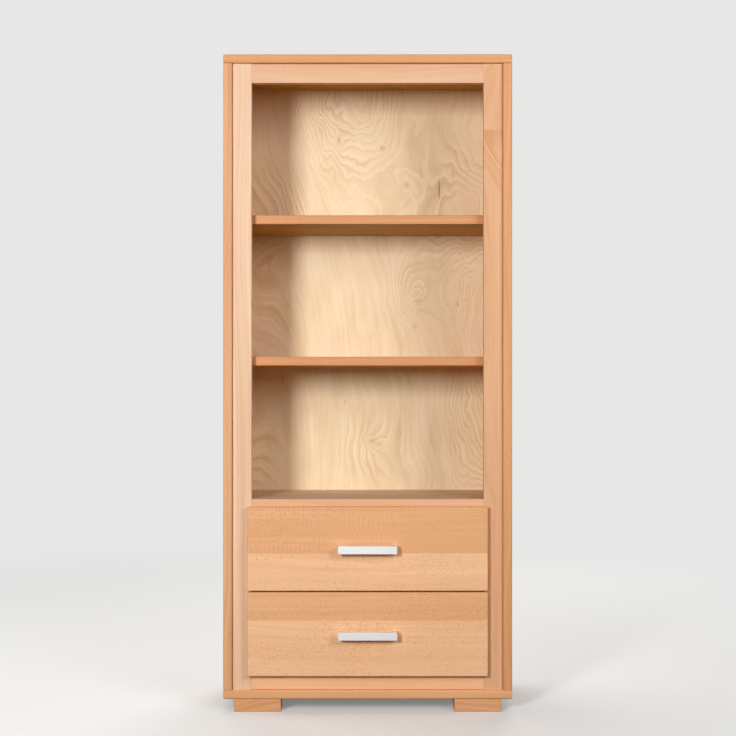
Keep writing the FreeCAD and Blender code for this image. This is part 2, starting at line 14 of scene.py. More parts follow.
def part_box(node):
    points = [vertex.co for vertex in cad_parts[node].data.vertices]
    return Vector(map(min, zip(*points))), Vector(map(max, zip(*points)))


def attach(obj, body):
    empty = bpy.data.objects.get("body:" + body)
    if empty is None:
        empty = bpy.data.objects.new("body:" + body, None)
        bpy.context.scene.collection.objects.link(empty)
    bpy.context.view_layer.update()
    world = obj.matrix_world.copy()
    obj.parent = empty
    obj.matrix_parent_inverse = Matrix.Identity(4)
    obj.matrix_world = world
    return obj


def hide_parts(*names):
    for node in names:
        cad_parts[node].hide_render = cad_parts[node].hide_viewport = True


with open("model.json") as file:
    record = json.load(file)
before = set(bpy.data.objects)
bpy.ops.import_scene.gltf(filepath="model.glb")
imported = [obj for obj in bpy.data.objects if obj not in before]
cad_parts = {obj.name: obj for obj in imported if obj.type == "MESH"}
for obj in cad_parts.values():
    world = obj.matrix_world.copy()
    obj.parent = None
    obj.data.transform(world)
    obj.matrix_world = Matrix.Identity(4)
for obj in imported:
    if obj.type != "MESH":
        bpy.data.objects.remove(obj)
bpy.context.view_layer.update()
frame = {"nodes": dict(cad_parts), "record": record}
nodes = frame["nodes"]
body_of = {node: body for body, held in frame["record"]["behaviour"]["bodies"].items() for node in held}

MM = 0.001
LEVELS = ("upper", "lower")
SIDES = {"left": -1, "right": 1}
X, Y, Z = range(3)

# camera, which stands in front of the middle and looks straight back
CAMERA_HEIGHT = 0.906
CAMERA_DISTANCE = 3.70
LENS = 65.45
SENSOR = 36
SHIFT = (0.0005, 0.0223)
FARTHEST = 60          # metres to the last thing that it sees

ARRIS = 0.4 * MM           # along the boards' edges
END_ROUNDING = 2 * MM      # at the ends of the boards that show
FRAME_ROUNDING = 2.4 * MM  # round the outside of the face frame
ROUNDED_REACH = 5.1 * MM   # how far the model's own roundings come in from a board's sides
SHORTEST_EDGE = 8 * MM     # edges of a board that are shorter get no arris
SHARP = math.radians(50)   # edges whose faces turn by more than this are sharp
FLAT = math.radians(0.5)   # faces that turn by less than this are made one
WELD = 0.01 * MM           # corners that are nearer than this are made one
SLIVER = 0.005 * MM        # faces that are thinner than this are taken out
SANDED_ROUND = ("top_panel", "base_panel", "side_panel", "foot_front", "foot_rear")
# the side of each frame member that meets the case: its axis, and 0 for low or 1 for high
FRAME_OUTSIDE = {"stile_left": (X, 0), "stile_right": (X, 1), "top_rail": (Z, 1), "bottom_rail": (Z, 0)}

BOW_PLATE = 7 * MM         # thickness of a handle's flat
BOW_LEG = 10 * MM
BOW_CORNER = 2 * MM        # radius where the flat turns into a leg
BOW_EDGE = 0.6 * MM

# sinks round the screws of the back
SINK_RADIUS = 4 * MM
SINK_DEPTH = 0.5 * MM
SINK_SIDES = 20


# ---------------------------------------------------------------- node trees

class Wire:
    """One output of a node. Arithmetic on wires adds Math nodes."""

    def __init__(self, tree, socket):
        self.tree = tree
        self.socket = socket

    def __add__(self, other):
        return self.tree.math("ADD", self, other)

    def __sub__(self, other):
        return self.tree.math("SUBTRACT", self, other)

    def __mul__(self, other):
        return self.tree.math("MULTIPLY", self, other)

    def __truediv__(self, other):
        return self.tree.math("DIVIDE", self, other)

    def __pow__(self, other):
        return self.tree.math("POWER", self, other)

    def __gt__(self, other):
        return self.tree.math("GREATER_THAN", self, other)

    def __lt__(self, other):
        return self.tree.math("LESS_THAN", self, other)

    def __rsub__(self, other):
        return self.tree.math("SUBTRACT", other, self)

    def __rtruediv__(self, other):
        return self.tree.math("DIVIDE", other, self)

    __radd__ = __add__
    __rmul__ = __mul__


class Tree:
    """A node tree that is written as expressions."""

    def __init__(self, tree):
        self.tree = tree
        tree.nodes.clear()

    def node(self, kind, settings=None, sockets=None):
        """Add a node: its settings come first, then the values or wires of its sockets."""
        made = self.tree.nodes.new(kind)
        for name, value in (settings or {}).items():
            setattr(made, name, value)
        for name, value in (sockets or {}).items():
            socket = made.inputs[name]
            if isinstance(value, (Wire, list)):
                for wire in [value] if isinstance(value, Wire) else value:
                    self.tree.links.new(wire.socket, socket)
            else:
                socket.default_value = value
        return made

    def add(self, kind, settings=None, sockets=None, out=0):
        """Add a node and give one of its outputs."""
        return Wire(self, self.node(kind, settings, sockets).outputs[out])

    def math(self, operation, *values):
        """Add a Math node."""
        return self.add("ShaderNodeMath", {"operation": operation}, dict(enumerate(values)))

    def clamp(self, value):
        """Hold a value between 0 and 1."""
        return self.math("MAXIMUM", self.math("MINIMUM", value, 1.0), 0.0)

    def smooth(self, value, start, end, low=0.0, high=1.0):
        """Go smoothly from low to high as the value goes from start to end."""
        return self.add("ShaderNodeMapRange", {"interpolation_type": "SMOOTHSTEP"},
                        {0: value, 1: start, 2: end, 3: low, 4: high})

    def vector(self, x, y, z):
        """Join three values."""
        return self.add("ShaderNodeCombineXYZ", None, {0: x, 1: y, 2: z})

    def split(self, vector):
        """Give the three parts of a vector or colour."""
        parts = self.node("ShaderNodeSeparateXYZ", None, {0: vector})
        return [Wire(self, output) for output in parts.outputs]

    def length(self, vector):
        """Give the length of a vector."""
        return self.add("ShaderNodeVectorMath", {"operation": "LENGTH"}, {0: vector}, out="Value")

    def noise(self, place, detail=2.0, rough=0.5, out=0):
        """Soft noise with one mark to each unit of its place."""
        return self.add("ShaderNodeTexNoise", None,
                        {"Vector": place, "Scale": 1.0, "Detail": detail, "Roughness": rough}, out)

    def streaks(self, ways, counts, detail=2.0):
        """Noise drawn out along the first of three ways: marks to a metre along it and across it."""
        along, across, through = ways
        return self.noise(self.vector(along * counts[0], across * counts[1], through * counts[1]), detail)

    def mix(self, share, first, second, how="MIX"):
        """Mix two colours."""
        return self.add("ShaderNodeMix", {"data_type": "RGBA", "blend_type": how},
                        {0: share, 6: first, 7: second}, out=2)

    def direct_look(self):
        """1 where the camera, a mirror or glass looks at a surface, and 0 where light bounces off it."""
        path = self.node("ShaderNodeLightPath")
        looks = [Wire(self, path.outputs[f"Is {kind} Ray"]) for kind in ("Camera", "Glossy", "Transmission")]
        return self.math("MINIMUM", sum(looks[1:], looks[0]), 1.0)


class Finish(Tree):
    """A material and its node tree."""

    def __init__(self, name):
        self.material = bpy.data.materials.new(name)
        self.material.use_nodes = True
        super().__init__(self.material.node_tree)
        self.place = self.add("ShaderNodeTexCoord", out="Object")

    def speckle(self, count, detail):
        """Even noise with so many spots to a metre."""
        place = self.add("ShaderNodeVectorMath", {"operation": "SCALE"}, {0: self.place, "Scale": count})
        return self.noise(place, detail)

    def surface(self, colour, rough, bump=None, depth=0.0, **settings):
        """Finish the material with its colour, roughness and, in metres, its relief."""
        sockets = {"Base Color": colour, "Roughness": rough, **settings}
        if bump is not None:
            sockets["Normal"] = self.add("ShaderNodeBump", None,
                                         {"Strength": 1.0, "Distance": depth, "Height": bump})
        shader = self.add("ShaderNodeBsdfPrincipled", None, sockets)
        self.node("ShaderNodeOutputMaterial", None, {"Surface": shader})
        return self.material


def swing(noise, reach):
    """A noise from 0 to 1, made to swing by half its reach to either side of 0."""
    return (noise - 0.5) * reach


# ---------------------------------------------------------------- beech

OILED = {"Specular IOR Level": 0.22}
# shares of a board's own colour
LIGHT_WOOD = (1.12, 1.20, 1.30)      # early wood
DARK_WOOD = (0.88, 0.80, 0.70)       # late wood
FLECK_WOOD = (0.70, 0.50, 0.38)
PAINTED_SHEEN_WOOD = (1.10, 1.26, 1.42)      # painted sheen: flecks made lighter, as if they caught the light
END_WOOD = (0.72, 0.62, 0.54)
PAINTED_UNDER_SHADE = (0.70, 0.82, 0.30, 1)   # painted shade: a darker, warmer share for the faces that look down
# how many there are to a metre, and where there are two numbers, along the grain and across it
RINGS = 300                          # year rings
BANDS = 55                           # wider bands of colour
LINES = 230                          # fine lines
RIPPLES = 80
FIBRES = (14.0, 520.0)
CLOUDS = (3.0, 14.0)
WOBBLES = (2.6, 9.0)
FLECK_PATCHES = (4.0, 13.0)
RIPPLE_PATCHES = (6.0, 18.0)
FLECK_CELL = (0.0075, 0.0027)        # room of one ray fleck, along and across the grain
STAVE_STEP = (0.061, 0.043)          # from one stave's pith to the next one's, across and through
STAVE_SHIFT = 1.7                    # and along the log
# how strongly each mark lightens or darkens the wood
BAND_DEPTH = 2.1
LINE_DEPTH = 1.7
FIBRE_DEPTH = 0.26
RING_DEPTH = 0.12
CLOUD_DEPTH = 0.35
CURL_DEPTH = 0.9                     # more of the lines where the wood is curly
CURL_SWAY = 0.11                     # metres that the rings are pushed aside there
RIPPLE_SWAY = 26.0                   # radians that the ripple wanders
WOOD_RELIEF = 0.06 * MM


def tinted(colour, shares):
    """A colour with each of its parts scaled, and held at 1."""
    return (*(min(part * share, 1.0) for part, share in zip(colour, shares)), 1)


def beech(name, grain, across, colour, tones=(0.5,), seams=(), pith=(0.0, 0.12), streak=0.5,
          fleck=0.5, ripple=None, sway=0.02, joint=None, painted_underside_shade=False, seed=0.0):
    """Solid beech as a block cut from logs: rings, bands of colour, fibres and ray flecks.

    grain and across are the axes along and across the board's grain. Its staves meet at the
    seams, and each has a tone, from 0 dark to 1 light, about the board's own colour. The pith
    is where the middle of the log lies, across and through the board, and sway is how far the
    rings wander from true. streak and fleck are the strength of the bands and the ray flecks. A
    joint is where a stave is joined end to end, with curly wood for some length below it. A
    ripple is how strong it is, and where along the grain it starts to fade and has gone. The
    last flag gives the board's faces that look down a painted shade, darker and warmer.
    """
    wood = Finish(name)
    place = wood.split(wood.place)
    through = ({X, Y, Z} - {grain, across}).pop()
    run, wide, deep = place[grain], place[across], place[through]
    stave = sum((wide > seam for seam in seams), 0.0 * run)
    tone = sum(((wide > seam) * (after - before)
                for seam, before, after in zip(seams, tones, tones[1:])), tones[0] + 0.0 * run)
    curl = 0.0 * run
    if joint:
        end, length = joint
        below = run < end
        curl = below * wood.smooth(run, end - length, end)
        stave = stave + below * 0.7
        tone = tone - below * wood.smooth(run, end - 0.4 * length, end) * 0.5

    # the distance from the log's pith, which gives the rings and the bands
    run = run + stave * STAVE_SHIFT + seed
    ways = (run, wide, deep)
    drift = wood.noise(wood.vector(run * 1.1, stave * 3.1 + seed, 0.0), detail=1.0) - 0.5
    wobble = wood.streaks(ways, WOBBLES, detail=3.0) - 0.5
    from_pith = (wide - pith[0] + stave * STAVE_STEP[0] + drift * (4 * sway) + curl * CURL_SWAY,
                 deep - pith[1] - stave * STAVE_STEP[1] + wobble * sway)
    radius = wood.math("SQRT", from_pith[0] * from_pith[0] + from_pith[1] * from_pith[1])
    radius = radius + wobble * (0.35 * sway)

    bands = wood.noise(wood.vector(radius * BANDS, run * 0.5, seed), detail=3.0, rough=0.6)
    lines = wood.noise(wood.vector(radius * LINES, run * 1.1, seed), detail=2.0)
    ring = wood.math("FRACT", radius * RINGS) ** 5.0
    fibre = wood.streaks(ways, FIBRES)
    cloud = wood.streaks(ways, CLOUDS)
    shade = (tone + swing(bands, BAND_DEPTH * streak)
             + swing(lines, LINE_DEPTH * streak + curl * CURL_DEPTH)
             + swing(fibre, FIBRE_DEPTH) - ring * RING_DEPTH + swing(cloud, CLOUD_DEPTH))

    def patches(counts, start, end, shift=0.0):
        """Where marks of one kind gather on the board, from 0 to 1."""
        spots = wood.noise(wood.vector(run * counts[0], wide * counts[1], seed + shift))
        return wood.smooth(spots, start, end)

    if ripple:
        strength, fades_from, gone_at = ripple
        waves = wood.math("SINE", run * (RIPPLES * math.tau) + wobble * RIPPLE_SWAY)
        fade = wood.smooth(place[grain], fades_from, gone_at, strength, 0.0)
        shade = shade + waves * patches(RIPPLE_PATCHES, 0.42, 0.60) * fade * (stave > 0.5)

    # ray flecks: one to a cell at most, and each cell's own chance says whether it shows
    cell = wood.vector(run / FLECK_CELL[0] + bands * 2.0, (wide + wobble * 0.003) / FLECK_CELL[1],
                       deep / FLECK_CELL[1])
    cells = wood.node("ShaderNodeTexVoronoi", None, {"Vector": cell, "Scale": 1.0})
    chance = wood.split(Wire(wood, cells.outputs["Color"]))[0]
    density = patches(FLECK_PATCHES, 0.34, 0.66, 4.0)
    dash = wood.smooth(Wire(wood, cells.outputs["Distance"]), 0.42, 0.16)
    rays = dash * (chance < 0.16 + density * (0.35 + 0.4 * fleck)) * (0.35 + chance * 1.1) * fleck
    # painted sheen: a few flecks are lightened, as if they caught the light
    painted_sheen = dash * (chance > 0.96 - density * 0.16) * (0.45 * fleck)

    facing = wood.split(wood.add("ShaderNodeTexCoord", out="Normal"))
    end_grain = wood.smooth(wood.math("ABSOLUTE", facing[grain]), 0.75, 0.95)
    skin = wood.mix(wood.clamp(shade), tinted(colour, DARK_WOOD), tinted(colour, LIGHT_WOOD))
    skin = wood.mix(wood.math("MINIMUM", rays * 0.88, 1.0), skin, tinted(colour, FLECK_WOOD))
    skin = wood.mix(painted_sheen, skin, tinted(colour, PAINTED_SHEEN_WOOD))
    skin = wood.mix(end_grain * 0.6, skin, tinted(colour, END_WOOD))
    # painted shade: the faces that look down are darkened and warmed
    if painted_underside_shade:
        skin = wood.mix(wood.smooth(facing[Z], -0.6, -0.9), skin, PAINTED_UNDER_SHADE, "MULTIPLY")
    rough = 0.58 + swing(fibre, 0.12) + rays * 0.08
    relief = fibre * 0.5 - rays * 0.6 - ring * 0.15
    return wood.surface(skin, rough, relief, WOOD_RELIEF, **OILED)


# ---------------------------------------------------------------- birch plywood

BIRCH_LIGHT = (0.93, 0.77, 0.525, 1)
BIRCH_DARK = (0.70, 0.475, 0.235, 1)
BIRCH_ROSE = (0.93, 0.75, 0.55, 1)
BIRCH_FLAME = (0.60, 0.35, 0.15, 1)
# painted glint: the pale sheen beside each flame line
BIRCH_PAINTED_GLINT = (0.99, 0.87, 0.65, 1)
KNOT_RING = (0.76, 0.40, 0.19, 1)
KNOT = (0.24, 0.11, 0.04, 1)
FLAME_COUNT = 34          # flame lines to a metre where the grain runs straight
HAIR_COUNT = 97           # finer lines between them
# marks to a metre, across and up
SWELLS = (2.4, 1.0)
PATCHES = (9.0, 5.0)
ROSY_PATCHES = (7.0, 4.0)
SHIMMERS = (16.0, 7.0)
STRANDS = (150.0, 2.4)
STRIPES = (22.0, 2.0)
VENEER_FIBRES = (560.0, 15.0)
VENEER_RELIEF = 0.04 * MM
# drifts of the grain: how many to a metre across and up, and how far
DRIFTS = ((6.5, 3.6, 0.060), (21.0, 10.0, 0.022), (60.0, 26.0, 0.0055), (150.0, 75.0, 0.0014))
# where the cut went through a bend of the trunk: x, z, half width, half height, rise
BENDS = ((-0.055, 1.97, 0.28, 0.66, 0.55), (0.30, 1.42, 0.22, 0.26, -0.22),
         (-0.30, 1.40, 0.18, 0.16, -0.09), (0.14, 1.17, 0.10, 0.16, 0.11),
         (0.38, 1.16, 0.18, 0.36, 0.26), (-0.36, 1.20, 0.16, 0.40, 0.11),
         (0.38, 0.86, 0.20, 0.40, 0.26), (0.03, 0.72, 0.14, 0.16, 0.05),
         (-0.38, 0.78, 0.16, 0.30, 0.11))
# each knot: x, z, half width, half height, how dark its heart is
KNOTS = ((-0.087, 1.646, 0.0020, 0.0045, 1.0), (0.043, 1.620, 0.0040, 0.0040, 0.5),
         (0.118, 1.508, 0.0060, 0.0050, 0.2), (0.152, 1.158, 0.0060, 0.0050, 0.2),
         (0.142, 1.080, 0.0040, 0.0040, 0.1), (0.272, 1.148, 0.0016, 0.0060, 1.0),
         (-0.258, 0.915, 0.0012, 0.0060, 0.9), (-0.068, 0.855, 0.0014, 0.0040, 0.9),
         (0.015, 0.735, 0.0070, 0.0060, 0.15))
CRACK = (0.216, 1.495, 0.0016, 0.034)   # x, z, half width, half height


def birch_ply(name, bends=(), knots=(), crack=None):
    """Rotary cut birch: flame lines that follow the bends of the trunk, over fine upright grain."""
    veneer = Finish(name)
    x, y, z = veneer.split(veneer.place)

    def reach(right, up, middle, height, wide, tall):
        """Distance from a spot, as a share of its half width and half height."""
        return veneer.length(veneer.vector((right - middle) / wide, (up - height) / tall, 0.0))

    def marks(side, counts, layer, detail=2.0, **settings):
        """Noise with so many marks to a metre across and up."""
        return veneer.noise(veneer.vector(side * counts[0], z * counts[1], layer), detail, **settings)

    def crest(lines):
        """1 along each line's late wood, and 0 away from it."""
        return veneer.smooth(lines, 0.40, 0.80) * veneer.smooth(lines, 1.0, 0.80)

    drifted_x, drifted_z = x, z
    for *counts, far in DRIFTS:
        red, green, _ = veneer.split(marks(x, counts, counts[0], detail=1.0, out="Color"))
        drifted_x = drifted_x + swing(red, far * 1.6)
        drifted_z = drifted_z + swing(green, far * 3.2)

    # the veneer's lines run where this field has the same value
    slow = marks(x, SWELLS, 0.7, detail=0.0) - 0.5
    field = drifted_x * 0.9 + slow * 0.5
    figured = 0.0 * x
    for *spot, rise in bends:
        bend = veneer.smooth(reach(drifted_x, drifted_z, *spot), 0.0, 1.0, 1.0, 0.0)
        field = field + bend * rise
        figured = veneer.math("MAXIMUM", figured, bend)
    figured = veneer.smooth(figured, 0.02, 0.40)
    ring = stain = 0.0 * x
    for *spot, heart in knots:
        away = reach(drifted_x, drifted_z, *spot)
        near = reach(x, z, *spot)
        field = field + veneer.smooth(away, 0.0, 8.0, 0.05, 0.0)
        ring = veneer.math("MAXIMUM", ring, veneer.smooth(near, 4.5, 0.5))
        stain = veneer.math("MAXIMUM", stain, veneer.smooth(near, 1.1, 0.2) * heart)

    flame = veneer.math("FRACT", field * FLAME_COUNT)
    hair = veneer.math("FRACT", field * HAIR_COUNT)
    patch = veneer.smooth(marks(x, PATCHES, 8.0), 0.36, 0.64)
    strand = marks(field, STRANDS, 4.0, detail=3.0, rough=0.7)
    stripe = marks(field, STRIPES, 2.0)
    fibre = marks(x, VENEER_FIBRES, y * VENEER_FIBRES[0])
    shimmer = marks(x, SHIMMERS, field * 3.0, detail=3.0)
    shade = (0.78 + slow * 0.15 + swing(shimmer, 0.95) + swing(fibre, 0.24)
             + swing(strand, 1.15) + swing(stripe, 0.6)
             - swing(flame, figured * (0.05 + patch * 0.15)))
    colour = veneer.mix(veneer.clamp(shade), BIRCH_DARK, BIRCH_LIGHT)
    rosy = veneer.smooth(marks(x, ROSY_PATCHES, field * 4.0, detail=1.0), 0.45, 0.65)
    colour = veneer.mix(rosy * 0.5, colour, BIRCH_ROSE)

    lines = crest(flame) * (0.04 + patch * 0.05 + figured * (0.04 + patch * 0.14))
    lines = lines + crest(hair) * (0.02 + figured * (0.03 + patch * 0.09))
    colour = veneer.mix(lines, colour, BIRCH_FLAME)
    # painted glint: a pale line just after each flame line, a sheen painted into the veneer's colour
    painted_glint = veneer.smooth(flame, 0.30, 0.0)
    colour = veneer.mix(painted_glint * (0.08 + figured * (0.05 + patch * 0.22)), colour, BIRCH_PAINTED_GLINT)
    if crack:
        stain = veneer.math("MAXIMUM", stain, veneer.smooth(reach(x, z, *crack), 1.1, 0.7))
    colour = veneer.mix(ring * ring * 0.32, colour, KNOT_RING)
    colour = veneer.mix(stain * 0.85, colour, KNOT)
    rough = 0.5 + swing(fibre, 0.1)
    return veneer.surface(colour, rough, fibre, VENEER_RELIEF, **OILED)


# ---------------------------------------------------------------- metal and plastic

METAL_SHADES = ((0.72, 0.725, 0.73, 1), (0.82, 0.82, 0.82, 1))
ZINC_SHADES = ((0.58, 0.60, 0.62, 1), (0.74, 0.75, 0.76, 1))
ACETAL_SHADES = ((0.80, 0.80, 0.77, 1), (0.86, 0.86, 0.83, 1))
# marks to a metre, and where there are two, along the handle and across it
BRUSH_MARKS = (30.0, 2600.0)
METAL_CLOUDS = (25.0, 60.0)
SPANGLES = 90.0
MOULD_MARKS = 1400.0
FINE_RELIEF = 0.02 * MM


def satin_aluminium(name):
    """Anodised aluminium with a fine grain brushed along the handle."""
    metal = Finish(name)
    ways = metal.split(metal.place)
    brush = metal.streaks(ways, BRUSH_MARKS)
    cloud = metal.streaks(ways, METAL_CLOUDS, detail=1.0)
    rough = 0.34 + swing(brush, 0.16) + swing(cloud, 0.05)
    return metal.surface(metal.mix(brush, *METAL_SHADES), rough, brush, FINE_RELIEF, Metallic=1.0)


def zinc_plate(name):
    """Bright zinc on pressed steel, slightly mottled."""
    metal = Finish(name)
    spangle = metal.speckle(SPANGLES, 3.0)
    return metal.surface(metal.mix(spangle, *ZINC_SHADES), 0.30 + spangle * 0.18, Metallic=1.0)


def acetal(name):
    """White moulded acetal with a faint mould texture."""
    plastic = Finish(name)
    grain = plastic.speckle(MOULD_MARKS, 1.0)
    return plastic.surface(plastic.mix(grain, *ACETAL_SHADES), 0.42 + grain * 0.08, grain, FINE_RELIEF)


# ---------------------------------------------------------------- shapes

def settle(piece):
    """Turn a piece and its modifiers into one plain mesh."""
    bpy.context.view_layer.update()
    graph = bpy.context.evaluated_depsgraph_get()
    mesh = bpy.data.meshes.new_from_object(piece.evaluated_get(graph))
    piece.modifiers.clear()
    old, piece.data = piece.data, mesh
    bpy.data.meshes.remove(old)
    return piece


def as_piece(name, shape, finish=None):
    """Make an object at the origin from a bmesh."""
    mesh = bpy.data.meshes.new(name)
    bmesh.ops.recalc_face_normals(shape, faces=shape.faces)
    shape.to_mesh(mesh)
    shape.free()
    piece = bpy.data.objects.new(name, mesh)
    bpy.context.scene.collection.objects.link(piece)
    if finish:
        mesh.materials.append(finish)
    return piece


def ease(shape, width, shortest=0.0, segments=2, chosen=lambda edge: True):
    """Bevel the sharp outer edges of a bmesh that are chosen, and mark the sharp ones that are left."""
    shape.normal_update()

    def sharp(edge):
        return edge.calc_face_angle(0) > SHARP

    picked = [edge for edge in shape.edges
              if sharp(edge) and edge.is_convex and edge.calc_length() > shortest and chosen(edge)]
    bmesh.ops.bevel(shape, geom=picked, offset=width, segments=segments, profile=0.5,
                    affect="EDGES", clamp_overlap=True)
    shape.normal_update()
    for edge in shape.edges:
        edge.smooth = not sharp(edge)


def shade_smooth(piece):
    """Shade all the faces of a piece as one smooth surface."""
    for face in piece.data.polygons:
        face.use_smooth = True


def even_shading(piece):
    """Shade a bevelled piece so that its flat faces stay flat."""
    shade_smooth(piece)
    normals = piece.modifiers.new("normals", "WEIGHTED_NORMAL")
    normals.mode = "FACE_AREA"
    normals.weight = 100
    normals.keep_sharp = True
    return settle(piece)


def stand_for(piece, node):
    """Ride on the node's body, in the node's place."""
    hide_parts(node)
    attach(piece, body_of[node])
    return piece


def sink(piece, spots):
    """Sink the rear face of a board a little round each of its screws."""
    drills = bmesh.new()
    across = Matrix.Rotation(math.radians(90), 4, "X")
    for spot in spots:
        bmesh.ops.create_cone(drills, cap_ends=True, segments=SINK_SIDES, radius1=SINK_RADIUS,
                              radius2=SINK_RADIUS, depth=2 * SINK_DEPTH,
                              matrix=Matrix.Translation(spot) @ across)
    drill = as_piece(f"{piece.name}_drill", drills)
    sinking = piece.modifiers.new("sinks", "BOOLEAN")
    sinking.object = drill
    sinking.solver = "EXACT"
    settle(piece)
    bpy.data.objects.remove(drill)


def board(node, finish, sinks=()):
    """A wooden piece with a fine arris on its edges, and shallow sinks for its screws.

    Boards that stand free at their ends are sanded rounder there. Their long front edges are
    round in the model already. The face frame is rounder where it meets the case.
    """
    low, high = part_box(node)
    limits = [(X, low.x), (X, high.x), (Y, low.y), (Z, low.z), (Z, high.z)]

    def at_end(edge):
        """Whether an edge follows the board's outline, away from its rear face."""
        corners = [corner.co for corner in edge.verts]
        return min(co.y for co in corners) < high.y - ARRIS and all(
            sum(abs(co[axis] - limit) < ROUNDED_REACH for axis, limit in limits) > 1 for co in corners)

    def at_case(edge):
        """Whether an edge is the outer front one of a frame member."""
        axis, outer = FRAME_OUTSIDE[node]
        limit = (low, high)[outer][axis]
        return all(abs(corner.co[axis] - limit) < ARRIS and corner.co.y < low.y + ARRIS
                   for corner in edge.verts)

    shape = bmesh.new()
    shape.from_mesh(nodes[node].data)
    bmesh.ops.remove_doubles(shape, verts=shape.verts, dist=WELD)
    bmesh.ops.dissolve_limit(shape, angle_limit=FLAT, verts=shape.verts, edges=shape.edges)
    if node.startswith(SANDED_ROUND) or node.endswith("drawer_front"):
        ease(shape, END_ROUNDING, segments=4, chosen=at_end)
    if node in FRAME_OUTSIDE:
        ease(shape, FRAME_ROUNDING, segments=4, chosen=at_case)
    ease(shape, ARRIS, shortest=SHORTEST_EDGE)
    bmesh.ops.connect_verts_concave(shape, faces=shape.faces)
    for corner in shape.verts:
        corner.co = [min(max(part, least), most) for part, least, most in zip(corner.co, low, high)]
    bmesh.ops.dissolve_degenerate(shape, dist=SLIVER, edges=shape.edges)
    piece = as_piece(f"{node}_board", shape, finish)
    if sinks:
        sink(piece, sinks)
    return stand_for(even_shading(piece), node)


def bow_handle(level, finish):
    """Flat bow with a leg at each end, from its plan, with its edges eased."""
    node = f"{level}_handle"
    low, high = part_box(node)
    inside = low.y + BOW_PLATE
    plan = [(low.x, low.y), (high.x, low.y), (high.x, high.y), (high.x - BOW_LEG, high.y),
            (high.x - BOW_LEG, inside), (low.x + BOW_LEG, inside), (low.x + BOW_LEG, high.y),
            (low.x, high.y)]
    shape = bmesh.new()
    face = shape.faces.new([shape.verts.new((x, y, low.z)) for x, y in plan])
    raised = bmesh.ops.extrude_face_region(shape, geom=[face])["geom"]
    bmesh.ops.translate(shape, vec=(0, 0, high.z - low.z),
                        verts=[item for item in raised if isinstance(item, bmesh.types.BMVert)])
    corners = [edge for edge in shape.edges
               if all(abs(corner.co.y - low.y) < ARRIS for corner in edge.verts)
               and abs(edge.verts[0].co.x - edge.verts[1].co.x) < ARRIS]
    bmesh.ops.bevel(shape, geom=corners, offset=BOW_CORNER, segments=6, profile=0.5, affect="EDGES")
    bmesh.ops.recalc_face_normals(shape, faces=shape.faces)
    ease(shape, BOW_EDGE, segments=3)
    stand_for(even_shading(as_piece(f"{node}_bow", shape, finish)), node)


# ---------------------------------------------------------------- screws

PAN_HEAD = {"Head Diameter": 8 * MM, "Head Height": 2.4 * MM, "Shank Diameter": 4 * MM,
            "Shank Length": 14 * MM}
FLAT_HEAD = {"Head Diameter": 7.2 * MM, "Head Height": 1.2 * MM, "Shank Diameter": 3.5 * MM,
             "Shank Length": 10 * MM}
FOOT_HEAD = {"Head Diameter": 9.5 * MM, "Head Height": 3 * MM, "Shank Diameter": 5 * MM}
HEAD_SIDES = 24
SHANK_SIDES = 16
CROWN = 0.43           # radius of a head's outer face, as a share of its diameter
CROSS = (0.56, 0.13)   # length and width of the cuts in it, as shares of its diameter
CROSS_HEIGHT = 0.85    # height of the cuts' middle, as a share of the head's height
RUNNER_SHEET = 1.2 * MM
BACK_MARGIN = 4.5 * MM              # from the back's edges to its screws
BACK_FIRST = (100 * MM, 45 * MM)    # from its corners to the first screws, across and up
BACK_COUNT = (4, 9)
RUNNER_FIRST = (38 * MM, 45 * MM)   # from a runner's front and rear ends to its outer screws
RUNNER_COUNT = 3
FRONT_INSET = (60 * MM, 40 * MM)    # from a box front's ends and edges to its screws
BACKWARD = (0, 1, 0)
DOWNWARD = (0, 0, -1)


